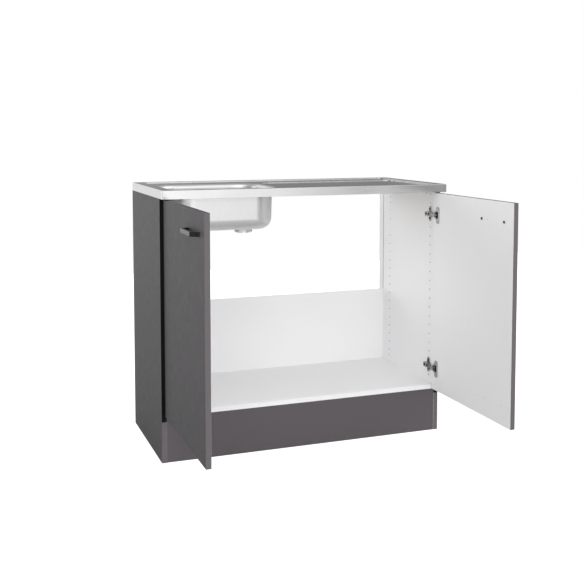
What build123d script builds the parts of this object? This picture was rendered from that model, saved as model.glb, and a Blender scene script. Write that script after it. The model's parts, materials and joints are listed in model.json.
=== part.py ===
from build123d import *
import os
from math import atan2, cos, pi, sin

# Kitchen sink base unit: a floor-standing cabinet with two hinged doors, an open upper back and a
# lay-on stainless sink top with one bowl and a drainer.
# Frame: millimetres, +Z up. X runs along the width with 0 in the middle, the room is towards -Y and
# Z = 0 is the floor. Pieces are drawn with the front edges of the side panels at Y = 0, and are
# saved with the origin in the middle of the footprint that the open doors and the carcass cover.
# Both doors stand open at right angles to the front, which is the rest pose.

# --- carcass boards ---
cabinet_width = 1000.0
carcass_depth = 450.0
carcass_height = 854.0
board = 16.0
plinth_height = 150.0
plinth_setback = 1.0
shelf_rear_gap = 18.0
rail_bowl_gap = 62.0
band_thickness = 0.8
back_thickness = 3.0
back_rear_gap = 33.0
back_rise = 278.0
groove_depth = 7.0
groove_clearance = 0.1

# --- drilling of the side panels ---
row_pitch = 32.0
row_front = 37.0
row_rear_margin = 40.0
row_hole = 5.0
row_hole_depth = 11.0
spare_hole_offset = 22.0
top_hole_drop = 11.0
top_hole_gap = 31.0

# --- corner fittings ---
cam_diameter = 15.0
cam_height = 12.5
cam_inset = 34.0
cam_margin = 50.0
cam_rear_margin = 60.0
cam_slot = 8.4
bolt_diameter = 7.0
bolt_embed = 10.0
fitting_clearance = 0.1
dowel_diameter = 8.0
dowel_length = 30.0
dowel_embed = 10.0
dowel_low = 45.0
dowel_from_top = 40.0

# --- sink top ---
top_side_overhang = 2.0
top_front_overhang = 45.0
top_rear_gap = 10.0
top_thickness = 28.0
sheet = 1.0
top_corner_radius = 4.0
top_edge_radius = 1.6
lip_width = 12.0
rim_front = 20.0
rim_rear = 30.0
rim_side = 34.0
recess_depth = 3.0
recess_corner_radius = 12.0
drainer_depth = 2.0
drainer_corner_radius = 30.0
drainer_gap = 22.0
drainer_forward = 11.0
drainer_margin = 14.0
batten_clearance = 0.1
board_under_drainer = 12.0
top_screw_from_side = 134.0
top_screw_inset = 6.4

# --- bowl ---
bowl_left = 46.0
bowl_width = 350.0
bowl_front = 4.0
bowl_depth_y = 284.0
bowl_corner_radius = 72.0
bowl_deep = 136.5
bowl_draft = 1.5
bowl_bottom_radius = 36.0
mouth_radius = 13.0
mouth_land = 2.0
mouth_clearance = 6.0

# --- waste outlet ---
drain_right = 78.0
drain_front = 131.0
dish_margin = 4.0
dish_depth = 3.0
waste_flange = 11.1
waste_flange_height = 2.0
outlet_bore = 20.5
outlet_wall = 3.4
outlet_ledge = 1.5
outlet_clearance = 0.4
outlet_drop = 17.5
seal_ring = 6.1
seal_thickness = 3.0
backnut_ring = 5.1
backnut_height = 11.0
strainer_thickness = 1.5
strainer_hole = 5.0
strainer_screw = 3.0
strainer_screw_head = 3.5
strainer_head_chamfer = 0.9
cross_bar_margin = 1.0
outer_hole_circle = 14.3
inner_hole_circle = 7.8

# --- doors ---
door_middle_gap = 5.0
door_top_gap = 4.0
door_bottom_gap = 2.0
door_thickness = 16.0
door_edge_chamfer = 0.6
reveal = 2.5
closed_gap = 3.0
open_inset = 11.0
open_gap = 5.0

# --- handles ---
handle_from_edge = 52.0
handle_hole_spacing = 128.0
handle_spare_spacing = 96.0
handle_from_end = 62.0
handle_height = 13.0
handle_projection = 25.0
handle_base = 140.0
handle_face = 105.0
handle_foot = 16.0
handle_bar = 8.0
handle_edge_radius = 0.8
handle_screw = 4.0
handle_screw_head = 9.0
handle_screw_embed = 10.0
handle_screw_chamfer = 1.0
handle_hole = 5.0
handle_pilot = 2.5

# --- concealed hinges ---
hinge_end_margin = 70.0
arm_pivot_rise = 15.5
arm_pivot_y = -1.0
heel_pivot_rise = 16.0
heel_pivot_y = 7.0
pole_radius = 10.5
cup_diameter = 35.0
cup_from_edge = 4.0
cup_deep = 11.5
cup_wall = 1.0
cup_floor = 0.9
cup_fit = 0.1
inner_pin_u = 10.5
inner_pin_v = 12.0
lug_inner = 3.2
lug_outer = 6.2
lug_half_width = 1.9
flange_offset = 9.5
flange_width = 23.0
flange_height = 59.0
flange_corner = 8.0
flange_thickness = 1.2
cup_deck = 0.9
deck_ledge = 0.4
window_height = 25.0
window_before = 2.0
window_reach = 14.5
window_corner = 4.0
link_slot_half = 9.5
flange_screw_spacing = 45.0
pivot_radius = 1.25
inner_pin_radius = 1.0
pivot_clearance = 0.05
open_pivot_play = 1.2
plate_wing_depth = 20.0
plate_wing_height = 54.0
plate_wing_thickness = 2.5
plate_wing_waist = 20.0
plate_wing_tip = 13.0
plate_screw_spacing = 32.0
arm_rear = 52.0
arm_seat_rise = 13.5
arm_sheet = 1.2
arm_half_width = 6.6
arm_eye = 3.1
arm_web_front = 13.0
arm_slope_rear = 16.0
arm_nose_rear = 9.0
arm_skirt = 7.0
arm_tail_front = 24.0
arm_tail_half_width = 8.6
arm_tail_corner = 5.0
seat_front = 18.0
seat_rear = 50.0
seat_side_clearance = 0.2
seat_corner = 2.0
front_arm_screw = 6.0
rear_arm_screw = 8.0
link_inner = 7.0
link_thickness = 1.2
outer_link_half_width = 1.8
outer_link_eye = 2.6
outer_bend_along = 12.0
outer_bend_side = 6.0
inner_link_half_thickness = 2.4
inner_link_half_width = 1.8
inner_link_eye = 3.1
heel_eye = 2.7
inner_bend_along = 18.0
inner_bend_side = 8.0
rivet_head_radius = 1.9
rivet_head = 0.6
rivet_play = 0.3
screw_radius = 2.45
screw_head_radius = 4.2
screw_head = 1.6
screw_length = 10.0

# --- values worked out from the sizes above ---
half_width = cabinet_width / 2
inner_x = half_width - board
top_z = carcass_height + top_thickness
top_half_width = half_width + top_side_overhang
top_front = -top_front_overhang
top_rear = carcass_depth - top_rear_gap
top_depth = top_rear - top_front
top_mid_y = (top_front + top_rear) / 2
recess_z = top_z - recess_depth
drainer_z = recess_z - drainer_depth
recess_width = 2 * (top_half_width - rim_side)
recess_y_size = top_depth - rim_front - rim_rear
recess_mid_y = (top_front + rim_front + top_rear - rim_rear) / 2
shelf_top = plinth_height + board
shelf_depth = carcass_depth - shelf_rear_gap
shelf_cam_places = (cam_margin, shelf_depth - cam_rear_margin)
rail_front = bowl_front + bowl_depth_y + rail_bowl_gap
rail_depth = carcass_depth - rail_front
rail_cam_places = (rail_front + rail_depth / 2,)
dowel_heights = (dowel_low, plinth_height - dowel_from_top)
back_mid_y = carcass_depth - back_rear_gap - back_thickness / 2
door_width = half_width - reveal - door_middle_gap / 2
door_height = carcass_height - plinth_height - door_top_gap - door_bottom_gap
door_mid_z = plinth_height + door_bottom_gap + door_height / 2
handle_offset_z = door_height / 2 - handle_from_end
hinge_spacing = row_pitch * int((door_height - 2 * hinge_end_margin) / row_pitch)
row_count = round(hinge_spacing / row_pitch) + 2
row_spacing = row_pitch * int((back_mid_y - row_front - row_rear_margin) / row_pitch)
row_mid_y = row_front + row_spacing / 2
hinge_heights = {"upper": door_mid_z + hinge_spacing / 2, "lower": door_mid_z - hinge_spacing / 2}
bowl_mid_x = -half_width + bowl_left + bowl_width / 2
bowl_mid_y = bowl_front + bowl_depth_y / 2
bowl_floor_z = recess_z - bowl_deep
dish_z = bowl_floor_z - dish_depth
drain_x = bowl_mid_x + bowl_width / 2 - drain_right
drain_y = bowl_front + drain_front
outlet_radius = outlet_bore + outlet_wall
throat_radius = outlet_bore - outlet_ledge
waste_flange_radius = outlet_radius + waste_flange
dish_radius = waste_flange_radius + dish_margin
seal_radius = outlet_radius + seal_ring
backnut_radius = outlet_radius + backnut_ring
drainer_left = bowl_mid_x + bowl_width / 2 + mouth_radius + drainer_gap
drainer_right = top_half_width - rim_side - drainer_margin
drainer_mid_x = (drainer_left + drainer_right) / 2
drainer_front = bowl_front - drainer_forward
drainer_rear = bowl_front + bowl_depth_y + mouth_radius
drainer_mid_y = (drainer_front + drainer_rear) / 2
batten_gap = sheet + batten_clearance
side_batten_x = top_half_width - batten_gap
batten_inner = top_half_width - rim_side + batten_gap
batten_front = top_front + batten_gap
batten_rear = top_rear - batten_gap
front_batten_end = top_front + rim_front - batten_gap
rear_batten_start = top_rear - rim_rear + batten_gap
side_front = top_front + top_corner_radius
side_rear = top_rear - top_corner_radius
top_screw_spread = inner_x - top_screw_from_side
top_screw_y = max(rail_front, rear_batten_start) + top_screw_inset
top_screw_places = [(x, top_screw_y) for x in (-top_screw_spread, 0, top_screw_spread)]
door_outer_x = -half_width + open_inset
door_inner_x = door_outer_x + door_thickness
cup_centre_u = cup_from_edge + cup_diameter / 2
flange_centre_u = cup_centre_u + flange_offset
flange_start_u = flange_centre_u - flange_width / 2
pocket_radius = cup_diameter / 2 - cup_wall
pocket_floor_v = door_thickness - cup_deep + cup_floor
footprint_shift = (open_gap + door_width - carcass_depth) / 2

# The door swings a quarter turn about a pole that is fixed by its closed and its open place. The arm
# pivot and both places of the cup pivot lie round that pole, half a quarter turn apart.
pole_x = (open_inset + door_thickness + closed_gap + reveal - open_gap) / 2
pole_y = (reveal - open_gap - open_inset - door_thickness - closed_gap) / 2
arm_pivot = (board + arm_pivot_rise, arm_pivot_y)
heel_pivot = (board + heel_pivot_rise, heel_pivot_y)
cup_pivot_angle = atan2(arm_pivot[1] - pole_y, arm_pivot[0] - pole_x) - pi / 4
cup_pivot = (
    pole_x + pole_radius * cos(cup_pivot_angle),
    pole_y + pole_radius * sin(cup_pivot_angle),
)
inner_pin = (open_inset + inner_pin_v, -open_gap - inner_pin_u)
cup_stub_offset = cup_centre_u + open_gap + cup_pivot[1] + pivot_radius
cup_stub_end = ((cup_diameter / 2) ** 2 - cup_stub_offset**2) ** 0.5
link_outer = link_inner + link_thickness
arm_screw_places = (seat_front + front_arm_screw, seat_rear - rear_arm_screw)

os.makedirs("parts", exist_ok=True)


def save(builder, label):
    """Bring the origin to the middle of the footprint, label the piece and write it as one STEP file."""
    with BuildPart() as piece:
        with Locations((0, footprint_shift, 0)):
            add(builder.part)
    piece.part.label = label
    export_step(piece.part, f"parts/{label}.step")


def save_mirrored(builder, label):
    """Write the piece of the right-hand side, the mirror image of the left-hand one."""
    with BuildPart() as twin:
        add(mirror(builder.part, about=Plane.YZ))
    save(twin, label)


def save_pair(builder, name):
    """Write a piece of the left-hand side and its mirror image on the right."""
    save(builder, name.replace("SIDE", "left"))
    save_mirrored(builder, name.replace("SIDE", "right"))


def hinge_plane(height):
    """Plan view at a height, measured from the outer face of the left side panel."""
    return Plane(origin=(-half_width, 0, height), x_dir=(1, 0, 0), z_dir=(0, 0, 1))


def panel_face(offset):
    """Upright plane facing +X at a distance from the outer face of the left side panel."""
    return Plane.YZ.offset(-half_width + offset)


# --- carcass ---
def side_panel():
    """Left side panel with its hole rows, back groove and bores for the corner fittings."""
    with BuildPart() as panel:
        with BuildSketch(Plane.XY):
            with Locations((-half_width + board / 2, (carcass_depth + band_thickness) / 2)):
                Rectangle(board, carcass_depth - band_thickness)
        extrude(amount=carcass_height)
        with BuildSketch(Plane.XY):
            with Locations((-half_width + board / 2, band_thickness / 2)):
                Rectangle(board, band_thickness)
        extrude(amount=plinth_height - board)
        with BuildSketch(panel_face(board)):
            with Locations((row_mid_y, door_mid_z)):
                with GridLocations(row_spacing, row_pitch, 2, row_count):
                    Circle(row_hole / 2)
                spare_rise = row_pitch * (row_count - 1) + 2 * spare_hole_offset
                with GridLocations(row_spacing, spare_rise, 2, 2):
                    Circle(row_hole / 2)
            with Locations((row_front + top_hole_gap / 2, carcass_height - top_hole_drop)):
                with GridLocations(top_hole_gap, 1, 2, 1):
                    Circle(row_hole / 2)
        extrude(amount=-row_hole_depth, mode=Mode.SUBTRACT)
        with BuildSketch(panel_face(board)):
            with Locations((back_mid_y, (plinth_height + carcass_height) / 2)):
                Rectangle(back_thickness + 2 * groove_clearance, carcass_height - plinth_height)
        extrude(amount=-groove_depth, mode=Mode.SUBTRACT)
        with BuildSketch(panel_face(board)):
            with Locations(*[(y, plinth_height + board / 2) for y in shelf_cam_places]):
                Circle(bolt_diameter / 2)
            with Locations(*[(y, carcass_height - board / 2) for y in rail_cam_places]):
                Circle(bolt_diameter / 2)
        extrude(amount=-bolt_embed, mode=Mode.SUBTRACT)
        with BuildSketch(panel_face(board)):
            with Locations(*[(plinth_setback + board / 2, z) for z in dowel_heights]):
                Circle(dowel_diameter / 2)
        extrude(amount=-dowel_embed, mode=Mode.SUBTRACT)
    return panel


def edge_band():
    """Dark band on the front edge of the left side panel, from the worktop to below the door."""
    with BuildPart() as band:
        with BuildSketch(Plane.XZ.offset(-band_thickness)):
            with BuildLine():
                Polyline(
                    (-half_width, carcass_height),
                    (-half_width + board, carcass_height),
                    (-half_width + board, plinth_height - board),
                    (-half_width, plinth_height - board),
                    close=True,
                )
            make_face()
        extrude(amount=band_thickness)
    return band


def cam_board(front, depth, bottom, cam_places, grooved):
    """Board between the side panels, with cam pockets in its underside at both ends."""
    with BuildPart() as piece:
        with BuildSketch(Plane.XY.offset(bottom)):
            with Locations((0, front + depth / 2)):
                Rectangle(2 * inner_x, depth)
        extrude(amount=board)
        cam_spots = [(x, y) for x in (cam_inset - inner_x, inner_x - cam_inset) for y in cam_places]
        with BuildSketch(Plane.XY.offset(bottom)):
            with Locations(*cam_spots):
                Circle(cam_diameter / 2)
        extrude(amount=cam_height, mode=Mode.SUBTRACT)
        for face_x, direction in ((-inner_x, 1), (inner_x, -1)):
            with BuildSketch(Plane.YZ.offset(face_x)):
                with Locations(*[(y, bottom + board / 2) for y in cam_places]):
                    Circle(bolt_diameter / 2)
            extrude(amount=direction * cam_inset, mode=Mode.SUBTRACT)
        if grooved:
            with BuildSketch(Plane.XY.offset(bottom + board)):
                with Locations((0, back_mid_y)):
                    Rectangle(2 * inner_x, back_thickness + 2 * groove_clearance)
            extrude(amount=-groove_depth, mode=Mode.SUBTRACT)
    return piece


def cam_sites():
    """Centre of every cam pocket and the X direction of the side panel it pulls on."""
    sites = []
    for side in (-1, 1):
        for places, bottom in (
            (shelf_cam_places, plinth_height),
            (rail_cam_places, carcass_height - board),
        ):
            sites += [(side * (inner_x - cam_inset), y, bottom, side) for y in places]
    return sites


def cam_discs():
    """Eccentric discs of the corner fittings, each with the slot that hooks the bolt."""
    with BuildPart() as discs:
        for x, y, bottom, side in cam_sites():
            with BuildSketch(Plane.XY.offset(bottom)):
                with Locations((x, y)):
                    Circle(cam_diameter / 2 - fitting_clearance)
            extrude(amount=cam_height - fitting_clearance)
            with BuildSketch(Plane.XY.offset(bottom + board / 2 - cam_slot / 2)):
                with Locations((x + side * cam_diameter / 4, y)):
                    Rectangle(cam_diameter / 2 + cam_slot, cam_slot)
            extrude(amount=cam_slot, mode=Mode.SUBTRACT)
    return discs


def cam_bolts():
    """Bolts screwed into the side panels, with their heads inside the cam discs."""
    reach = bolt_embed + cam_inset
    with BuildPart() as bolts:
        for x, y, bottom, side in cam_sites():
            plane = Plane(
                origin=(side * (inner_x + bolt_embed), y, bottom + board / 2),
                x_dir=(0, 1, 0),
                z_dir=(-side, 0, 0),
            )
            with BuildSketch(plane):
                Circle(bolt_diameter / 2 - fitting_clearance)
            extrude(amount=reach)
    return bolts


def plinth_panel():
    """Plinth board between the side panels under the bottom shelf."""
    with BuildPart() as plinth:
        with BuildSketch(Plane.XY):
            with Locations((0, plinth_setback + board / 2)):
                Rectangle(2 * inner_x, board)
        extrude(amount=plinth_height)
        for face_x, direction in ((-inner_x, 1), (inner_x, -1)):
            with BuildSketch(Plane.YZ.offset(face_x)):
                with Locations(*[(plinth_setback + board / 2, z) for z in dowel_heights]):
                    Circle(dowel_diameter / 2)
            extrude(amount=direction * (dowel_length - dowel_embed), mode=Mode.SUBTRACT)
    return plinth


def plinth_dowels():
    """Wooden dowels that join the plinth board to the side panels."""
    with BuildPart() as dowels:
        for side in (-1, 1):
            start = side * (inner_x + dowel_embed)
            plane = Plane(origin=(start, 0, 0), x_dir=(0, 1, 0), z_dir=(-side, 0, 0))
            with BuildSketch(plane):
                with Locations(*[(plinth_setback + board / 2, -side * z) for z in dowel_heights]):
                    Circle(dowel_diameter / 2)
            extrude(amount=dowel_length)
    return dowels


def back_panel():
    """Low back panel held in the grooves of the side panels and the bottom shelf."""
    width = 2 * (inner_x + groove_depth - groove_clearance)
    foot = shelf_top - groove_depth + groove_clearance
    with BuildPart() as back:
        with BuildSketch(Plane.XY.offset(foot)):
            with Locations((0, back_mid_y)):
                Rectangle(width, back_thickness)
        extrude(amount=shelf_top + back_rise - foot)
    return back


# --- sink top ---
def opening_outline(grow):
    """Outline of the bowl mouth in the deck, grown outwards."""
    spread = mouth_radius + mouth_land + grow
    with Locations((bowl_mid_x, bowl_mid_y)):
        RectangleRounded(
            bowl_width + 2 * spread, bowl_depth_y + 2 * spread, bowl_corner_radius + spread
        )


def drainer_outline(grow):
    """Outline of the sunk drainer field."""
    with Locations((drainer_mid_x, drainer_mid_y)):
        RectangleRounded(
            drainer_right - drainer_left + 2 * grow,
            drainer_rear - drainer_front + 2 * grow,
            drainer_corner_radius + grow,
        )


def sink_top():
    """Folded sheet top: skirt, raised rim, sunk deck, drainer field and the mouth for the bowl."""
    with BuildPart() as top:
        with BuildSketch(Plane.XY.offset(carcass_height)):
            with Locations((0, top_mid_y)):
                RectangleRounded(2 * top_half_width, top_depth, top_corner_radius)
        extrude(amount=top_thickness)
        fillet(top.faces().sort_by(Axis.Z)[-1].edges(), top_edge_radius)
        with BuildSketch(Plane.XY.offset(carcass_height + sheet)):
            with Locations((0, top_mid_y)):
                RectangleRounded(
                    2 * (top_half_width - sheet), top_depth - 2 * sheet, top_corner_radius - sheet
                )
        extrude(amount=top_thickness - 2 * sheet, mode=Mode.SUBTRACT)
        with BuildSketch(Plane.XY.offset(carcass_height)):
            with Locations((0, top_mid_y)):
                Rectangle(2 * (top_half_width - lip_width), top_depth - 2 * lip_width)
        extrude(amount=sheet, mode=Mode.SUBTRACT)
        with BuildSketch(Plane.XY.offset(recess_z - sheet)):
            with Locations((0, recess_mid_y)):
                RectangleRounded(
                    recess_width + 2 * sheet, recess_y_size + 2 * sheet, recess_corner_radius + sheet
                )
        extrude(amount=recess_depth)
        with BuildSketch(Plane.XY.offset(recess_z)):
            with Locations((0, recess_mid_y)):
                RectangleRounded(recess_width, recess_y_size, recess_corner_radius)
        extrude(amount=recess_depth, mode=Mode.SUBTRACT)
        with BuildSketch(Plane.XY.offset(drainer_z - sheet)):
            drainer_outline(sheet)
        extrude(amount=drainer_depth)
        with BuildSketch(Plane.XY.offset(drainer_z)):
            drainer_outline(0)
        extrude(amount=drainer_depth, mode=Mode.SUBTRACT)
        with BuildSketch(Plane.XY.offset(recess_z - sheet)):
            opening_outline(0)
        extrude(amount=sheet, mode=Mode.SUBTRACT)
    return top


def bowl_form(grow):
    """Space filled by the bowl and its flared mouth, grown outwards by the sheet."""
    land = mouth_land if grow else mouth_land + mouth_clearance
    spread = mouth_radius + land
    with BuildPart() as form:
        with BuildSketch(Plane.XY.offset(recess_z - grow)):
            with Locations((bowl_mid_x, bowl_mid_y)):
                RectangleRounded(
                    bowl_width + 2 * spread, bowl_depth_y + 2 * spread, bowl_corner_radius + spread
                )
        extrude(amount=grow if grow else 2 * sheet)
        with BuildSketch(Plane.XY.offset(recess_z - grow)):
            with Locations((bowl_mid_x, bowl_mid_y)):
                RectangleRounded(
                    bowl_width + 2 * grow, bowl_depth_y + 2 * grow, bowl_corner_radius + grow
                )
        extrude(amount=-bowl_deep, taper=bowl_draft)
        floor_face = form.faces().sort_by(Axis.Z)[0]
        fillet(floor_face.edges(), bowl_bottom_radius + grow)
        mouth_face = form.faces().filter_by(Plane.XY).sort_by(Axis.Z)[1]
        fillet(mouth_face.inner_wires()[0].edges(), mouth_radius - grow)
    return form.part


def sink_bowl():
    """Pressed bowl with a flared mouth, a rounded floor and a dished drain."""
    outside = bowl_form(sheet)
    inside = bowl_form(0)
    with BuildPart() as bowl:
        add(outside)
        with BuildSketch(Plane.XY.offset(bowl_floor_z)):
            with Locations((drain_x, drain_y)):
                Circle(dish_radius + sheet)
        extrude(amount=-dish_depth - sheet)
        add(inside, mode=Mode.SUBTRACT)
        with BuildSketch(Plane.XY.offset(bowl_floor_z)):
            with Locations((drain_x, drain_y)):
                Circle(dish_radius)
        extrude(amount=-dish_depth, mode=Mode.SUBTRACT)
        with BuildSketch(Plane.XY.offset(dish_z)):
            with Locations((drain_x, drain_y)):
                Circle(outlet_radius + outlet_clearance)
        extrude(amount=-sheet, mode=Mode.SUBTRACT)
    return bowl


def batten(x_low, x_high, y_low, y_high):
    """Stiffening strip glued inside the folded edge of the top."""
    bottom = carcass_height + batten_gap
    with BuildPart() as strip:
        with BuildSketch(Plane.XY.offset(bottom)):
            with Locations(((x_low + x_high) / 2, (y_low + y_high) / 2)):
                Rectangle(x_high - x_low, y_high - y_low)
        extrude(amount=top_thickness - 2 * batten_gap)
    return strip


def drainer_board():
    """Board glued under the drainer field, which keeps the sheet flat."""
    with BuildPart() as slab:
        with BuildSketch(Plane.XY.offset(drainer_z - sheet)):
            drainer_outline(-drainer_margin)
        extrude(amount=-board_under_drainer)
    return slab


def top_screws():
    """Screws up through the rear rail into the rear batten of the top."""
    reach = board + top_thickness / 2
    head_z = carcass_height - board
    with BuildPart() as screws:
        with BuildSketch(Plane.XY.offset(head_z)):
            with Locations(*top_screw_places):
                Circle(screw_radius)
        extrude(amount=reach)
        with BuildSketch(Plane.XY.offset(head_z)):
            with Locations(*top_screw_places):
                Circle(screw_head_radius)
        extrude(amount=-screw_head)
    return screws


def drill_top_screws(piece):
    """The same piece with the bores of the top screws."""
    with BuildPart() as drilled:
        add(piece.part)
        with BuildSketch(Plane.XY.offset(carcass_height - board)):
            with Locations(*top_screw_places):
                Circle(screw_radius)
        extrude(amount=board + top_thickness / 2, mode=Mode.SUBTRACT)
    return drilled


# --- waste outlet ---
def waste_body():
    """Flanged waste tail that passes down through the drain hole."""
    with BuildPart() as body:
        with BuildSketch(Plane.XZ):
            with BuildLine():
                Polyline(
                    (outlet_bore, waste_flange_height),
                    (waste_flange_radius - waste_flange_height, waste_flange_height),
                    (waste_flange_radius, 0),
                    (outlet_radius, 0),
                    (outlet_radius, -outlet_drop),
                    (outlet_bore, -outlet_drop),
                    (outlet_bore, -outlet_drop / 2),
                    (throat_radius, -outlet_drop / 2),
                    (throat_radius, waste_flange_height - strainer_thickness),
                    (outlet_bore, waste_flange_height - strainer_thickness),
                    close=True,
                )
            make_face()
        revolve(axis=Axis.Z)
        with BuildSketch(Plane.XY.offset(-outlet_drop / 2)):
            Rectangle(throat_radius + outlet_bore, strainer_screw + 2 * cross_bar_margin)
            Circle(strainer_screw + cross_bar_margin)
        extrude(amount=strainer_screw)
        with BuildSketch(Plane.XY.offset(-outlet_drop / 2)):
            Circle(strainer_screw / 2)
        extrude(amount=strainer_screw, mode=Mode.SUBTRACT)
    return body


def strainer():
    """Perforated strainer plate that lies in the mouth of the waste."""
    ring = outlet_bore - fitting_clearance
    with BuildPart() as plate:
        with BuildSketch(Plane.XY.offset(waste_flange_height - strainer_thickness)):
            Circle(ring)
            Circle(strainer_screw / 2, mode=Mode.SUBTRACT)
            with PolarLocations(outer_hole_circle, 8):
                Circle(strainer_hole / 2, mode=Mode.SUBTRACT)
            with PolarLocations(inner_hole_circle, 4, start_angle=45):
                Circle(strainer_hole / 2, mode=Mode.SUBTRACT)
        extrude(amount=strainer_thickness)
    return plate


def strainer_bolt():
    """Centre screw that holds the strainer down on the cross bar of the waste."""
    with BuildPart() as bolt:
        with BuildSketch(Plane.XY.offset(-outlet_drop / 2)):
            Circle(strainer_screw / 2)
        extrude(amount=outlet_drop / 2 + waste_flange_height)
        with BuildSketch(Plane.XY.offset(waste_flange_height)):
            Circle(strainer_screw_head)
        extrude(amount=strainer_thickness)
        chamfer(bolt.faces().sort_by(Axis.Z)[-1].edges(), strainer_head_chamfer)
    return bolt


def drain_seal():
    """Rubber washer between the bowl and the back nut."""
    with BuildPart() as seal:
        with BuildSketch(Plane.XY.offset(-sheet)):
            Circle(seal_radius)
            Circle(outlet_radius + fitting_clearance, mode=Mode.SUBTRACT)
        extrude(amount=-seal_thickness)
    return seal


def backnut():
    """Back nut with wrench flats that clamps the waste to the bowl."""
    with BuildPart() as nut:
        with BuildSketch(Plane.XY.offset(-sheet - seal_thickness)):
            RegularPolygon(backnut_radius, 8, major_radius=False)
            Circle(outlet_radius + fitting_clearance, mode=Mode.SUBTRACT)
        extrude(amount=-backnut_height)
    return nut


def save_at_drain(builder, label):
    """Write a piece drawn round the origin at the drain hole of the bowl."""
    with BuildPart() as placed:
        with Locations((drain_x, drain_y, dish_z)):
            add(builder.part)
    save(placed, label)


# --- doors and handles ---
def handle_places(spacing):
    """Distances of two handle holes from the hinge edge, counted from the free edge."""
    last = door_width - handle_from_edge
    return (last - spacing, last)


def door_points(distances, rises):
    """Y and Z of points on the open door, from distances to the hinge edge and door-centre heights."""
    return [(-open_gap - s, door_mid_z + rise) for s in distances for rise in rises]


def door_panel():
    """Left door, open at a right angle, bored for its hinges and for a handle at either end."""
    with BuildPart() as door:
        with BuildSketch(Plane.YZ.offset(door_outer_x)):
            with Locations((-open_gap - door_width / 2, door_mid_z)):
                Rectangle(door_width, door_height)
        extrude(amount=door_thickness)
        chamfer(door.edges().group_by(Axis.X)[0], door_edge_chamfer)
        hinge_rises = (-hinge_spacing / 2, hinge_spacing / 2)
        with BuildSketch(Plane.YZ.offset(door_inner_x)):
            with Locations(*door_points((cup_centre_u,), hinge_rises)):
                Circle(cup_diameter / 2 + cup_fit)
        extrude(amount=-cup_deep - cup_fit, mode=Mode.SUBTRACT)
        with BuildSketch(Plane.YZ.offset(door_inner_x)):
            with Locations(*door_points((flange_centre_u,), hinge_rises)):
                with GridLocations(1, flange_screw_spacing, 1, 2):
                    Circle(screw_radius)
        extrude(amount=-screw_length, mode=Mode.SUBTRACT)
        with BuildSketch(Plane.YZ.offset(door_inner_x)):
            with Locations(*door_points(handle_places(handle_hole_spacing), (handle_offset_z,))):
                Circle(handle_hole / 2)
        extrude(amount=-door_thickness, mode=Mode.SUBTRACT)
        with BuildSketch(Plane.YZ.offset(door_inner_x)):
            with Locations(*door_points(handle_places(handle_hole_spacing), (-handle_offset_z,))):
                Circle(handle_pilot / 2)
            spare_place = handle_places(handle_spare_spacing)[:1]
            with Locations(*door_points(spare_place, (-handle_offset_z, handle_offset_z))):
                Circle(handle_pilot / 2)
        extrude(amount=-door_thickness / 2, mode=Mode.SUBTRACT)
    return door


def handle():
    """Cast bow handle: two splayed feet and a flat bar, with the screw holes in its feet."""
    mid = sum(handle_places(handle_hole_spacing)) / 2
    half_base = handle_base / 2
    half_face = handle_face / 2
    plane = Plane(
        origin=(door_outer_x, -open_gap - mid, door_mid_z + handle_offset_z - handle_height / 2),
        x_dir=(0, 1, 0),
        z_dir=(0, 0, 1),
    )
    with BuildPart() as grip:
        with BuildSketch(plane):
            with BuildLine():
                Polyline(
                    (-half_base, 0),
                    (-half_face, handle_projection),
                    (half_face, handle_projection),
                    (half_base, 0),
                    (half_base - handle_foot, 0),
                    (half_face - handle_bar, handle_projection - handle_bar),
                    (-half_face + handle_bar, handle_projection - handle_bar),
                    (-half_base + handle_foot, 0),
                    close=True,
                )
            make_face()
        extrude(amount=handle_height)
        outer_edges = grip.edges().filter_by(Plane(origin=(0, 0, 0), z_dir=(0, 0, 1)))
        chamfer(outer_edges.group_by(Axis.X)[0], handle_edge_radius)
        with BuildSketch(Plane.YZ.offset(door_outer_x)):
            with Locations(*door_points(handle_places(handle_hole_spacing), (handle_offset_z,))):
                Circle(handle_screw / 2)
        extrude(amount=-handle_screw_embed, mode=Mode.SUBTRACT)
    return grip


def handle_screws():
    """Two machine screws from the inner face of the door into the feet of the handle."""
    places = door_points(handle_places(handle_hole_spacing), (handle_offset_z,))
    with BuildPart() as screws:
        with BuildSketch(Plane.YZ.offset(door_inner_x)):
            with Locations(*places):
                Circle(handle_screw / 2)
        extrude(amount=-door_thickness - handle_screw_embed)
        with BuildSketch(Plane.YZ.offset(door_inner_x)):
            with Locations(*places):
                Circle(handle_screw_head / 2)
        extrude(amount=handle_screw / 2)
        chamfer(screws.faces().group_by(Axis.X)[-1].edges(), handle_screw_chamfer)
    return screws


# --- concealed hinges, drawn for the left door ---
def link_spine(start, end, along, beside):
    """Centre line of a link that bends once, the bend given along and beside the line of its pivots."""
    ahead = Vector(end[0] - start[0], end[1] - start[1]).normalized()
    corner = Vector(*start) + ahead * along + ahead.rotate(Axis.Z, 90) * beside
    with BuildLine() as spine:
        Polyline(start, (corner.X, corner.Y), end)
    return spine.wire()


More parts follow.
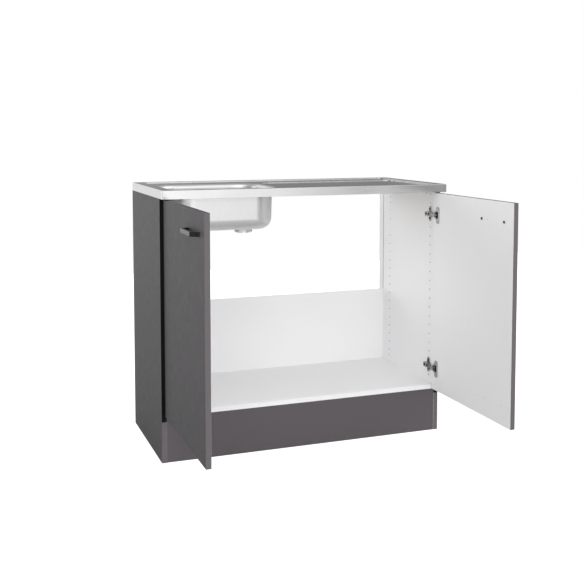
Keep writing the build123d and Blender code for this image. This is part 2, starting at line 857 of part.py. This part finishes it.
def mounting_plate(height):
    """Winged plate on the side panel with the raised seat that carries the arm."""
    with BuildPart() as plate:
        with BuildSketch(panel_face(board)):
            with Locations((row_front, height)):
                SlotOverall(plate_wing_height, plate_wing_tip, rotation=90)
                Rectangle(plate_wing_depth, plate_wing_waist)
                with GridLocations(1, plate_screw_spacing, 1, 2):
                    Circle(screw_radius, mode=Mode.SUBTRACT)
        extrude(amount=plate_wing_thickness)
        seat_half = arm_half_width - arm_sheet - seat_side_clearance
        with BuildSketch(panel_face(board)):
            with Locations(((seat_front + seat_rear) / 2, height)):
                RectangleRounded(seat_rear - seat_front, 2 * seat_half, seat_corner)
        extrude(amount=arm_seat_rise)
        with BuildSketch(panel_face(board + arm_seat_rise)):
            with Locations(*[(y, height) for y in arm_screw_places]):
                Circle(screw_radius)
        extrude(amount=-screw_length, mode=Mode.SUBTRACT)
    return plate


def arm(height):
    """Pressed channel from its wide tail on the seat forward to the two pivots, open below and in front."""
    back = board + arm_seat_rise
    web_top = back + arm_sheet
    nose_top = arm_pivot[0] + arm_eye
    nose_low = arm_pivot[0] - arm_eye
    tail_length = arm_rear - arm_tail_front
    tail_mid = arm_tail_front + tail_length / 2
    with BuildPart() as channel:
        with BuildSketch(hinge_plane(height - arm_half_width)):
            with BuildLine():
                Polyline(
                    (nose_low, arm_pivot[1]),
                    (nose_low, arm_nose_rear),
                    (back - arm_skirt, arm_slope_rear),
                    (back - arm_skirt, tail_mid),
                    (web_top, tail_mid),
                    (web_top, arm_slope_rear),
                    (nose_top, arm_nose_rear),
                    (nose_top, arm_pivot[1]),
                    close=True,
                )
            make_face()
            with Locations(arm_pivot):
                Circle(arm_eye)
        extrude(amount=2 * arm_half_width)
        with BuildSketch(panel_face(back - arm_skirt)):
            with Locations((tail_mid, height)):
                RectangleRounded(tail_length, 2 * arm_tail_half_width, arm_tail_corner)
        extrude(amount=arm_skirt + arm_sheet)
        with BuildSketch(panel_face(back - arm_skirt)):
            with Locations((tail_mid, height)):
                RectangleRounded(
                    tail_length - 2 * arm_sheet,
                    2 * (arm_tail_half_width - arm_sheet),
                    arm_tail_corner - arm_sheet,
                )
        extrude(amount=arm_skirt, mode=Mode.SUBTRACT)
        inside = arm_half_width - arm_sheet
        with BuildSketch(hinge_plane(height - inside)):
            with BuildLine():
                Polyline(
                    (back - 2 * arm_skirt, tail_mid),
                    (back, tail_mid),
                    (back, arm_web_front),
                    (nose_top + 1, arm_web_front),
                    (nose_top + 1, arm_pivot[1] - arm_eye - 1),
                    (back - 2 * arm_skirt, arm_pivot[1] - arm_eye - 1),
                    close=True,
                )
            make_face()
        extrude(amount=2 * inside, mode=Mode.SUBTRACT)
        with BuildSketch(hinge_plane(height - arm_half_width)):
            with Locations(arm_pivot, heel_pivot):
                Circle(pivot_radius)
        extrude(amount=2 * arm_half_width, mode=Mode.SUBTRACT)
        with BuildSketch(panel_face(back)):
            with Locations(*[(y, height) for y in arm_screw_places]):
                Circle(screw_radius)
        extrude(amount=arm_sheet, mode=Mode.SUBTRACT)
    return channel


def hinge_cup(height):
    """Cup let into the door, with its flange, window, link slot and the two lugs of its pin."""
    centre_y = -open_gap - cup_centre_u
    flange_y = -open_gap - flange_centre_u
    lug_y = -open_gap - inner_pin_u
    window_length = window_before + window_reach
    window_mid_u = flange_start_u - window_before + window_length / 2
    slot_length = window_mid_u - cup_from_edge
    floor_x = open_inset + pocket_floor_v
    with BuildPart() as cup:
        with BuildSketch(Plane.YZ.offset(door_inner_x)):
            with Locations((centre_y, height)):
                Circle(cup_diameter / 2)
        extrude(amount=-cup_deep)
        with BuildSketch(Plane.YZ.offset(door_inner_x)):
            with Locations((flange_y, height)):
                RectangleRounded(flange_width, flange_height, flange_corner)
        extrude(amount=flange_thickness)
        with BuildSketch(Plane.YZ.offset(door_inner_x - cup_deck)):
            with Locations((centre_y, height)):
                Circle(pocket_radius)
        extrude(amount=-cup_deep + cup_floor + cup_deck, mode=Mode.SUBTRACT)
        with BuildSketch(Plane.YZ.offset(door_inner_x + flange_thickness)):
            with Locations((-open_gap - window_mid_u, height)):
                RectangleRounded(window_length, window_height, window_corner)
            with Locations((-open_gap - cup_from_edge - slot_length / 2, height)):
                Rectangle(slot_length, 2 * link_slot_half)
            with Locations((centre_y, height)):
                Circle(pocket_radius - deck_ledge, mode=Mode.INTERSECT)
        extrude(amount=-flange_thickness - cup_deck, mode=Mode.SUBTRACT)
        with BuildSketch(Plane.YZ.offset(door_inner_x)):
            with Locations((flange_y, height)):
                with GridLocations(1, flange_screw_spacing, 1, 2):
                    Circle(screw_radius)
        extrude(amount=flange_thickness, mode=Mode.SUBTRACT)
        for sign in (1, -1):
            with BuildSketch(hinge_plane(height + sign * lug_inner)):
                with BuildLine():
                    Polyline(
                        (floor_x - cup_floor / 2, lug_y - lug_half_width),
                        (inner_pin[0], lug_y - lug_half_width),
                        (inner_pin[0], lug_y + lug_half_width),
                        (floor_x - cup_floor / 2, lug_y + lug_half_width),
                        close=True,
                    )
                make_face()
                with Locations(inner_pin):
                    Circle(lug_half_width)
            extrude(amount=sign * (lug_outer - lug_inner))
        with BuildSketch(hinge_plane(height - lug_outer)):
            with Locations(inner_pin):
                Circle(inner_pin_radius)
        extrude(amount=2 * lug_outer, mode=Mode.SUBTRACT)
        with BuildSketch(hinge_plane(height - cup_stub_end)):
            with Locations(cup_pivot):
                Circle(pivot_radius)
        extrude(amount=2 * cup_stub_end, mode=Mode.SUBTRACT)
    return cup


def outer_links(height):
    """The pair of bent side plates between the nose of the arm and the cup."""
    spine = link_spine(arm_pivot, cup_pivot, outer_bend_along, outer_bend_side)
    with BuildPart() as links:
        for sign in (1, -1):
            with BuildSketch(hinge_plane(height + sign * link_inner)):
                SlotArc(spine, 2 * outer_link_half_width)
                with Locations(arm_pivot, cup_pivot):
                    Circle(outer_link_eye)
                with Locations(arm_pivot, cup_pivot):
                    Circle(pivot_radius + pivot_clearance, mode=Mode.SUBTRACT)
            extrude(amount=sign * link_thickness)
    return links


def inner_link(height):
    """Middle link between the arm and the cup, with a wide eye round the pin in the cup."""
    spine = link_spine(heel_pivot, inner_pin, inner_bend_along, inner_bend_side)
    with BuildPart() as link:
        with BuildSketch(hinge_plane(height - inner_link_half_thickness)):
            SlotArc(spine, 2 * inner_link_half_width)
            with Locations(heel_pivot):
                Circle(heel_eye)
            with Locations(inner_pin):
                Circle(inner_link_eye)
            with Locations(heel_pivot):
                Circle(pivot_radius + pivot_clearance, mode=Mode.SUBTRACT)
            with Locations(inner_pin):
                Circle(inner_pin_radius + open_pivot_play, mode=Mode.SUBTRACT)
        extrude(amount=2 * inner_link_half_thickness)
    return link


def arm_pins(heights):
    """Rivets of the arm: two short ones for the side plates and a long one for the inner link."""
    tip = link_outer + rivet_play
    shank_and_head = (
        (pivot_radius, arm_half_width - arm_sheet, tip),
        (rivet_head_radius, tip, tip + rivet_head),
    )
    with BuildPart() as pins:
        for height in heights:
            for sign in (1, -1):
                for radius, start, end in shank_and_head:
                    with BuildSketch(hinge_plane(height + sign * start)):
                        with Locations(arm_pivot):
                            Circle(radius)
                    extrude(amount=sign * (end - start))
            with BuildSketch(hinge_plane(height - arm_half_width)):
                with Locations(heel_pivot):
                    Circle(pivot_radius)
            extrude(amount=2 * arm_half_width)
    return pins


def cup_pins(heights):
    """Pins of the cup: two stubs for the side plates and one across the lugs."""
    with BuildPart() as pins:
        for height in heights:
            for sign in (1, -1):
                start = link_inner - rivet_play
                with BuildSketch(hinge_plane(height + sign * start)):
                    with Locations(cup_pivot):
                        Circle(pivot_radius)
                extrude(amount=sign * (cup_stub_end - start))
            with BuildSketch(hinge_plane(height - lug_outer)):
                with Locations(inner_pin):
                    Circle(inner_pin_radius)
            extrude(amount=2 * lug_outer)
    return pins


def pan_screws(offset, places, length, direction):
    """Pan-head screws whose heads stand on a face at a distance from the left panel's outer face."""
    with BuildPart() as screws:
        with BuildSketch(panel_face(offset)):
            with Locations(*places):
                Circle(screw_radius)
        extrude(amount=-direction * length)
        with BuildSketch(panel_face(offset)):
            with Locations(*places):
                Circle(screw_head_radius)
        extrude(amount=direction * screw_head)
    return screws


def spread(heights, gap, y):
    """Y and Z of a pair of screws at each hinge, one above and one below its centre."""
    return [(y, height + sign * gap / 2) for height in heights for sign in (1, -1)]


# --- write every piece ---
save_pair(side_panel(), "SIDE_side_panel")
save_pair(edge_band(), "SIDE_edge_band")
save(cam_board(0, shelf_depth, plinth_height, shelf_cam_places, True), "bottom_shelf")
rail = cam_board(rail_front, rail_depth, carcass_height - board, rail_cam_places, False)
save(drill_top_screws(rail), "rear_top_rail")
save(plinth_panel(), "plinth_panel")
save(plinth_dowels(), "plinth_dowels")
save(back_panel(), "back_panel")
save(cam_discs(), "cam_discs")
save(cam_bolts(), "cam_bolts")

save(drill_top_screws(sink_top()), "sink_top")
save(sink_bowl(), "sink_bowl")
save(drainer_board(), "drainer_board")
save_pair(batten(-side_batten_x, -batten_inner, side_front, side_rear), "SIDE_batten")
save(batten(-batten_inner, batten_inner, batten_front, front_batten_end), "front_batten")
rear_batten = batten(-batten_inner, batten_inner, rear_batten_start, batten_rear)
save(drill_top_screws(rear_batten), "rear_batten")
save(top_screws(), "top_screws")

save_at_drain(waste_body(), "waste_body")
save_at_drain(strainer(), "strainer")
save_at_drain(strainer_bolt(), "strainer_bolt")
save_at_drain(drain_seal(), "drain_seal")
save_at_drain(backnut(), "backnut")

save_pair(door_panel(), "SIDE_door_panel")
save_pair(handle(), "SIDE_handle")
save_pair(handle_screws(), "SIDE_handle_screws")

for level, height in hinge_heights.items():
    save_pair(mounting_plate(height), f"{level}_SIDE_hinge_plate")
    save_pair(arm(height), f"{level}_SIDE_hinge_arm")
    save_pair(hinge_cup(height), f"{level}_SIDE_hinge_cup")
    save_pair(outer_links(height), f"{level}_SIDE_outer_links")
    save_pair(inner_link(height), f"{level}_SIDE_inner_link")

levels = tuple(hinge_heights.values())
save_pair(arm_pins(levels), "SIDE_arm_pins")
save_pair(cup_pins(levels), "SIDE_cup_pins")
plate_places = spread(levels, plate_screw_spacing, row_front)
save_pair(
    pan_screws(board + plate_wing_thickness, plate_places, screw_length, 1), "SIDE_plate_screws"
)
arm_places = [(y, height) for height in levels for y in arm_screw_places]
arm_face = board + arm_seat_rise + arm_sheet
save_pair(pan_screws(arm_face, arm_places, screw_length, 1), "SIDE_arm_screws")
cup_places = spread(levels, flange_screw_spacing, -open_gap - flange_centre_u)
flange_face = open_inset + door_thickness + flange_thickness
save_pair(pan_screws(flange_face, cup_places, screw_length, 1), "SIDE_cup_screws")
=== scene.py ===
import json
from math import cos, radians, sin

import bpy
from mathutils import Euler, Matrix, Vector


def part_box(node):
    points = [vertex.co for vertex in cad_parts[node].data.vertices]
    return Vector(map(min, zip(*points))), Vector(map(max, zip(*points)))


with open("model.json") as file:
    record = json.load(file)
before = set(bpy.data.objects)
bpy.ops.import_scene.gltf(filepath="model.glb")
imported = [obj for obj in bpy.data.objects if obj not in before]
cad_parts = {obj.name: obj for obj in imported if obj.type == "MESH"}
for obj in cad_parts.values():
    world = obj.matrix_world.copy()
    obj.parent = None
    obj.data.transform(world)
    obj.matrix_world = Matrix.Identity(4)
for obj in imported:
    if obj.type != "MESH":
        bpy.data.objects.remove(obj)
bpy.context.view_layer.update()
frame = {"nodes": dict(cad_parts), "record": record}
nodes = frame["nodes"]

# Everything is in metres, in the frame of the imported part: +X to the right, +Y to the wall, +Z up.

# --- camera, fitted to the corners of the unit in the photograph ---
IMAGE_SIDE = 584.0
SENSOR = 36.0
CAMERA_PLACE = (-1.1301, -2.8729, 1.0730)
CAMERA_YAW = 20.358
CAMERA_PITCH = 4.260
FOCAL_PIXELS = 935.2
VIEW_SHIFT = -0.16
VIEW_DEPTH = 100.0

# --- surroundings: level light, light from overhead, and soft lamps far away ---
# Lamp: degrees round from the front to the right, degrees up, inner and outer half angle, strength.
HORIZON_LIGHT = 0.2
SKY_LIGHT = 0.5
SKY_RAMP = (-0.1, 0.9)
BACKDROP_LIGHT = 1.0
LAMPS = (
    (-6.0, 4.0, 24.0, 36.0, 1.6),
    (-42.0, 4.0, 5.0, 30.0, 0.8),
    (-158.0, 6.0, 4.0, 38.0, 0.9),
    (-118.0, 0.0, 4.0, 24.0, 3.1),
    (100.0, 10.0, 10.0, 50.0, 0.4),
    (-30.0, 50.0, 5.0, 40.0, 1.2),
    (60.0, 32.0, 5.0, 40.0, 1.4),
)

# --- floor ---
FLOOR_REACH = 4.0
FLOOR_DROP = 0.0005
FLOOR_ROUGHNESS = 0.9
FLOOR_GLOW = 0.8

# --- surfaces ---
NOISE_RANGE = (0.3, 0.7)
SPECKLE_SCALE = 900.0
SQUARE_ON = 0.7
FACE_TOLERANCE = 0.0001
CUP_SHADE_DEPTH = 0.0011
BOARD_GLOSS = 0.2
BOARD_ROUGHNESS = 0.54
BOARD_UNEVENNESS = 0.04
TIMBER_ROUGHNESS = 0.8
METAL_SPECKLE_SCALE = 500.0
METAL_PATCH_SCALE = 300.0
METAL_UNEVENNESS = 0.05
CUP_SCREW_ROUGHNESS = 0.38
COAT_GLOSS = 0.4


def srgb(red, green=None, blue=None):
    """Linear colour of an 8-bit screen colour, or of a grey, by the sRGB curve."""
    channels = (red, red if green is None else green, red if blue is None else blue)
    return tuple((c / 255.0 / 12.92) if c < 11 else ((c / 255.0 + 0.055) / 1.055) ** 2.4 for c in channels)


WHITE = (1.0, 1.0, 1.0)
GREY_FACE = srgb(79, 77, 79)
# Painted light: the lighter grey of edges square to Y stands for the stronger light from the front.
PAINTED_LIGHT_EDGE_FACE = srgb(107, 102, 105)
# Painted light: the plinth is the same grey board, given a lighter copy of its colour.
PAINTED_LIGHT_PLINTH_FACE = srgb(96, 91, 94)
WHITE_FACE = srgb(247, 247, 248)
FLOOR_PAINT = srgb(205)
BLACK_COAT = srgb(5)
SEAL_BLACK = srgb(28)
# Painted shade: dark colour for the hollow inside the hinge cups.
CUP_PAINTED_SHADE = srgb(24)
BRIGHT_NICKEL = srgb(172, 172, 174)
TIMBER = (srgb(186, 172, 150), srgb(220, 210, 192))
TOP_STEEL = (srgb(196, 196, 197), srgb(204, 204, 205))
BOWL_STEEL = (srgb(215, 215, 216), srgb(224, 224, 225))

# Slots of board in one colour, and slots of plain metal: colour and roughness.
BOARDS = {
    # The plinth's lighter grey is painted light.
    "grey_board": (PAINTED_LIGHT_PLINTH_FACE, BOARD_ROUGHNESS),
    "white_board": (WHITE_FACE, BOARD_ROUGHNESS),
    # Painted shade: this black strip stands for the shadow that the open door casts on the side panel's
    # front edge.
    "black_edging": (srgb(2), 0.65),
}
METALS = {
    "polished_waste": (srgb(214, 214, 216), 0.14),
    "nickel_steel": (srgb(160, 159, 158), 0.3),
    "dark_screw": (srgb(46, 45, 45), 0.4),
    "zinc": (srgb(170, 171, 173), 0.45),
}


# --- node helpers ---
class Nodes:
    """Short calls for building one material."""

    def __init__(self, name):
        self.material = bpy.data.materials.new(name)
        self.material.use_nodes = True
        self.tree = self.material.node_tree
        self.shader = self.tree.nodes["Principled BSDF"]
        self.place = self.tree.nodes.new("ShaderNodeTexCoord").outputs["Object"]

    def link(self, source, target):
        self.tree.links.new(source, target)

    def put(self, socket, value):
        """Link another node's output to a socket, or set its value."""
        if isinstance(value, bpy.types.NodeSocket):
            self.link(value, socket)
        elif isinstance(value, tuple) and len(value) == 3 and socket.type == "RGBA":
            socket.default_value = (*value, 1.0)
        else:
            socket.default_value = value

    def set(self, **values):
        """Set the shader's sockets, by their names with _ for a space."""
        for name, value in values.items():
            self.put(self.shader.inputs[name.replace("_", " ")], value)

    def math(self, operation, *values):
        node = self.tree.nodes.new("ShaderNodeMath")
        node.operation = operation
        for socket, value in zip(node.inputs, values):
            self.put(socket, value)
        return node.outputs[0]

    def noise(self, scale, detail=3.0, stretch=(1.0, 1.0, 1.0), roughness=0.5):
        """Noise over the piece; a stretch under 1 draws it out along that axis."""
        mapping = self.tree.nodes.new("ShaderNodeMapping")
        mapping.inputs["Scale"].default_value = stretch
        self.link(self.place, mapping.inputs["Vector"])
        node = self.tree.nodes.new("ShaderNodeTexNoise")
        node.inputs["Scale"].default_value = scale
        node.inputs["Detail"].default_value = detail
        node.inputs["Roughness"].default_value = roughness
        self.link(mapping.outputs["Vector"], node.inputs["Vector"])
        return node.outputs["Fac"]

    def spread(self, noise, low=0.0, high=1.0):
        """Noise spread over a range of values."""
        node = self.tree.nodes.new("ShaderNodeMapRange")
        self.link(noise, node.inputs["Value"])
        node.inputs["From Min"].default_value, node.inputs["From Max"].default_value = NOISE_RANGE
        node.inputs["To Min"].default_value = low
        node.inputs["To Max"].default_value = high
        return node.outputs["Result"]

    def mix(self, factor, first, second):
        node = self.tree.nodes.new("ShaderNodeMix")
        node.data_type = "RGBA"
        self.put(node.inputs["Factor"], factor)
        self.put(node.inputs["A"], first)
        self.put(node.inputs["B"], second)
        return node.outputs["Result"]

    def mottled(self, colour, amount, scale=SPECKLE_SCALE):
        """A colour with the faint speckle of a printed decor."""
        darker = tuple(c * (1 - amount) for c in colour)
        lighter = tuple(min(c * (1 + amount), 1.0) for c in colour)
        return self.mix(self.spread(self.noise(scale, detail=4.0)), darker, lighter)

    def axis(self, name, vector=None):
        node = self.tree.nodes.new("ShaderNodeSeparateXYZ")
        self.link(vector or self.place, node.inputs[0])
        return node.outputs[name]

    def square_to(self, name):
        """1 on faces square to an axis, and 0 on the others."""
        normal = self.tree.nodes.new("ShaderNodeTexCoord").outputs["Normal"]
        return self.math("GREATER_THAN", self.math("ABSOLUTE", self.axis(name, normal)), SQUARE_ON)

    def past(self, inner_x, inward, margin):
        """1 beyond a plane square to X, or within a margin short of it, and 0 elsewhere."""
        depth = self.math("MULTIPLY", self.math("SUBTRACT", self.axis("X"), inner_x), inward)
        return self.math("GREATER_THAN", depth, -margin)

    def bump(self, height, distance, strength):
        node = self.tree.nodes.new("ShaderNodeBump")
        node.inputs["Strength"].default_value = strength
        node.inputs["Distance"].default_value = distance
        self.link(height, node.inputs["Height"])
        self.link(node.outputs["Normal"], self.shader.inputs["Normal"])


# --- materials ---
def board(made, colour, roughness):
    """Finish that the printed boards share: low gloss, faint patches and a fine grain."""
    low, high = roughness - BOARD_UNEVENNESS, roughness + BOARD_UNEVENNESS
    made.set(Base_Color=colour, Specular_IOR_Level=BOARD_GLOSS)
    made.set(Roughness=made.spread(made.noise(scale=40.0), low, high))
    made.bump(made.noise(scale=2600.0, detail=2.0), distance=0.00004, strength=0.35)
    return made.material


def faced_board(name, inner_x, inward):
    """Board with a matt grey face, edges in a lighter grey that is painted light, and a white face on its
    inner side.
    """
    made = Nodes(name)
    inside = made.past(inner_x, inward, FACE_TOLERANCE)
    # Edges square to Y get the lighter grey, painted light from the front.
    grey = made.mix(made.square_to("Y"), made.mottled(GREY_FACE, 0.015), made.mottled(PAINTED_LIGHT_EDGE_FACE, 0.015))
    return board(made, made.mix(inside, grey, made.mottled(WHITE_FACE, 0.012)), BOARD_ROUGHNESS)


def plain_board(name, colour, roughness):
    made = Nodes(name)
    return board(made, made.mottled(colour, 0.02), roughness)


def chipboard(name):
    """Raw timber with chips and grain along X."""
    made = Nodes(name)
    chips = made.noise(scale=260.0, detail=5.0, stretch=(0.35, 1.0, 1.0), roughness=0.65)
    made.set(Base_Color=made.mix(made.spread(chips), *TIMBER), Roughness=TIMBER_ROUGHNESS)
    made.bump(chips, distance=0.0003, strength=0.5)
    return made.material


def brushed_top(name):
    """Stainless sheet of the top: fine brushing along X, over broad patches of softer sheen."""
    made = Nodes(name)
    streaks = made.noise(scale=900.0, detail=4.0, stretch=(0.012, 1.0, 1.0), roughness=0.6)
    patches = made.noise(scale=5.0, detail=2.0)
    made.set(Base_Color=made.mix(made.spread(streaks), *TOP_STEEL), Metallic=1.0)
    made.set(Roughness=made.math("ADD", made.spread(patches, 0.21, 0.26), made.spread(streaks, -0.03, 0.03)))
    made.bump(streaks, distance=0.00002, strength=0.4)
    return made.material


def satin_bowl(name):
    """Deep-drawn bowl, with satin streaks that run down its walls."""
    made = Nodes(name)
    streaks = made.noise(scale=800.0, detail=4.0, stretch=(1.0, 1.0, 0.03), roughness=0.6)
    made.set(Base_Color=made.mix(made.spread(streaks), *BOWL_STEEL), Metallic=1.0)
    made.set(Roughness=made.spread(streaks, 0.32, 0.38))
    made.bump(streaks, distance=0.00002, strength=0.3)
    return made.material


def metal(name, colour, roughness):
    made = Nodes(name)
    low, high = roughness - METAL_UNEVENNESS, roughness + METAL_UNEVENNESS
    made.set(Base_Color=made.mottled(colour, 0.04, METAL_SPECKLE_SCALE), Metallic=1.0)
    made.set(Roughness=made.spread(made.noise(METAL_PATCH_SCALE), low, high))
    return made.material


def hinge_cup(name, inner_x, inward):
    """Bright nickel flange, and painted shade on the cup's inside from just below the door's inner face."""
    made = Nodes(name)
    flange = made.mottled(BRIGHT_NICKEL, 0.03, METAL_SPECKLE_SCALE)
    # Painted shade: the cup's inside, past a small depth below the door's inner face, takes the dark colour.
    clear_of_painted_shade = made.past(inner_x, inward, CUP_SHADE_DEPTH)
    made.set(Base_Color=made.mix(clear_of_painted_shade, CUP_PAINTED_SHADE, flange), Metallic=1.0)
    made.set(Roughness=made.spread(made.noise(METAL_PATCH_SCALE), 0.34, 0.42))
    return made.material


def powder_coat(name):
    made = Nodes(name)
    made.set(Base_Color=made.mottled(BLACK_COAT, 0.1, scale=1500.0), Specular_IOR_Level=COAT_GLOSS)
    made.set(Roughness=made.spread(made.noise(scale=500.0), 0.2, 0.26))
    made.bump(made.noise(scale=3000.0, detail=2.0), distance=0.00002, strength=0.2)
    return made.material


def rubber(name):
    made = Nodes(name)
    made.set(Base_Color=made.mottled(SEAL_BLACK, 0.1))
    made.set(Roughness=made.spread(made.noise(scale=400.0), 0.6, 0.75))
    return made.material


def dress():
    """Give every piece of the part its material."""
    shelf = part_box("bottom_shelf")
    inner_faces = {
        "left_side_panel": (shelf[0].x, 1),
        "right_side_panel": (shelf[1].x, -1),
        "left_door_panel": (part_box("left_door_panel")[1].x, 1),
        "right_door_panel": (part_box("right_door_panel")[0].x, -1),
    }
    by_slot = {slot: plain_board(slot, *look) for slot, look in BOARDS.items()}
    by_slot.update({slot: metal(slot, *look) for slot, look in METALS.items()})
    makers = {
        "raw_timber": chipboard,
        "brushed_top": brushed_top,
        "satin_bowl": satin_bowl,
        "seal_rubber": rubber,
        "black_metal": powder_coat,
    }
    by_slot.update({slot: make(slot) for slot, make in makers.items()})
    cup_screw = metal("bright_nickel", BRIGHT_NICKEL, CUP_SCREW_ROUGHNESS)

    slot_of = {entry["node"]: entry["material_slot"] for entry in frame["record"]["subparts"]}
    for name, node in nodes.items():
        if name in inner_faces:
            material = faced_board(f"{name}_board", *inner_faces[name])
        elif name.endswith("hinge_cup"):
            door = f"{name.split('_')[1]}_door_panel"
            material = hinge_cup(f"{name}_nickel", *inner_faces[door])
        elif name.endswith("cup_screws"):
            material = cup_screw
        else:
            material = by_slot[slot_of[name]]
        node.data.materials.clear()
        node.data.materials.append(material)


# --- floor, surroundings and camera ---
def seen_by_camera(tree):
    return tree.nodes.new("ShaderNodeLightPath").outputs["Is Camera Ray"]


def floor():
    """Pale floor, lit up for the camera so that it shows as white as the backdrop."""
    mesh = bpy.data.meshes.new("floor")
    corners = [(x * FLOOR_REACH, y * FLOOR_REACH, 0.0) for x, y in ((-1, -1), (1, -1), (1, 1), (-1, 1))]
    mesh.from_pydata(corners, [], [(0, 1, 2, 3)])
    plane = bpy.data.objects.new("floor", mesh)
    plane.location.z = -FLOOR_DROP
    bpy.context.scene.collection.objects.link(plane)
    made = Nodes("floor_paint")
    made.set(Base_Color=made.mottled(FLOOR_PAINT, 0.006, scale=60.0), Roughness=FLOOR_ROUGHNESS)
    made.set(Emission_Color=WHITE)
    made.set(Emission_Strength=made.math("MULTIPLY", seen_by_camera(made.tree), FLOOR_GLOW))
    mesh.materials.append(made.material)


def surroundings():
    """White world: what lights the part is graded, and what the camera sees is even."""
    world = bpy.data.worlds.new("studio")
    bpy.context.scene.world = world
    world.use_nodes = True
    tree = world.node_tree
    background = tree.nodes["Background"]
    direction = tree.nodes.new("ShaderNodeTexCoord").outputs["Generated"]

    def ramp(value, low, high, to_low, to_high):
        node = tree.nodes.new("ShaderNodeMapRange")
        node.interpolation_type = "SMOOTHSTEP"
        tree.links.new(value, node.inputs["Value"])
        node.inputs["From Min"].default_value = low
        node.inputs["From Max"].default_value = high
        node.inputs["To Min"].default_value = to_low
        node.inputs["To Max"].default_value = to_high
        return node.outputs["Result"]

    parts = tree.nodes.new("ShaderNodeSeparateXYZ")
    tree.links.new(direction, parts.inputs[0])
    strength = ramp(parts.outputs["Z"], *SKY_RAMP, HORIZON_LIGHT, SKY_LIGHT)
    for turn, up, inner, outer, power in LAMPS:
        turn, up = radians(turn), radians(up)
        toward = tree.nodes.new("ShaderNodeVectorMath")
        toward.operation = "DOT_PRODUCT"
        tree.links.new(direction, toward.inputs[0])
        toward.inputs[1].default_value = (sin(turn) * cos(up), -cos(turn) * cos(up), sin(up))
        lamp = ramp(toward.outputs["Value"], cos(radians(outer)), cos(radians(inner)), 0.0, power)
        total = tree.nodes.new("ShaderNodeMath")
        total.operation = "ADD"
        tree.links.new(strength, total.inputs[0])
        tree.links.new(lamp, total.inputs[1])
        strength = total.outputs[0]
    seen = tree.nodes.new("ShaderNodeMix")
    tree.links.new(seen_by_camera(tree), seen.inputs["Factor"])
    tree.links.new(strength, seen.inputs["A"])
    seen.inputs["B"].default_value = BACKDROP_LIGHT
    tree.links.new(seen.outputs["Result"], background.inputs["Strength"])
    background.inputs["Color"].default_value = (*WHITE, 1.0)


def camera():
    lens = bpy.data.cameras.new("camera")
    lens.sensor_width = SENSOR
    lens.lens = FOCAL_PIXELS / IMAGE_SIDE * SENSOR
    lens.shift_y = VIEW_SHIFT
    lens.clip_end = VIEW_DEPTH
    eye = bpy.data.objects.new("camera", lens)
    eye.location = CAMERA_PLACE
    eye.rotation_euler = Euler((radians(90 - CAMERA_PITCH), 0.0, radians(-CAMERA_YAW)))
    bpy.context.scene.collection.objects.link(eye)
    bpy.context.scene.camera = eye


dress()
floor()
surroundings()
camera()
bpy.context.scene.view_settings.view_transform = "Standard"
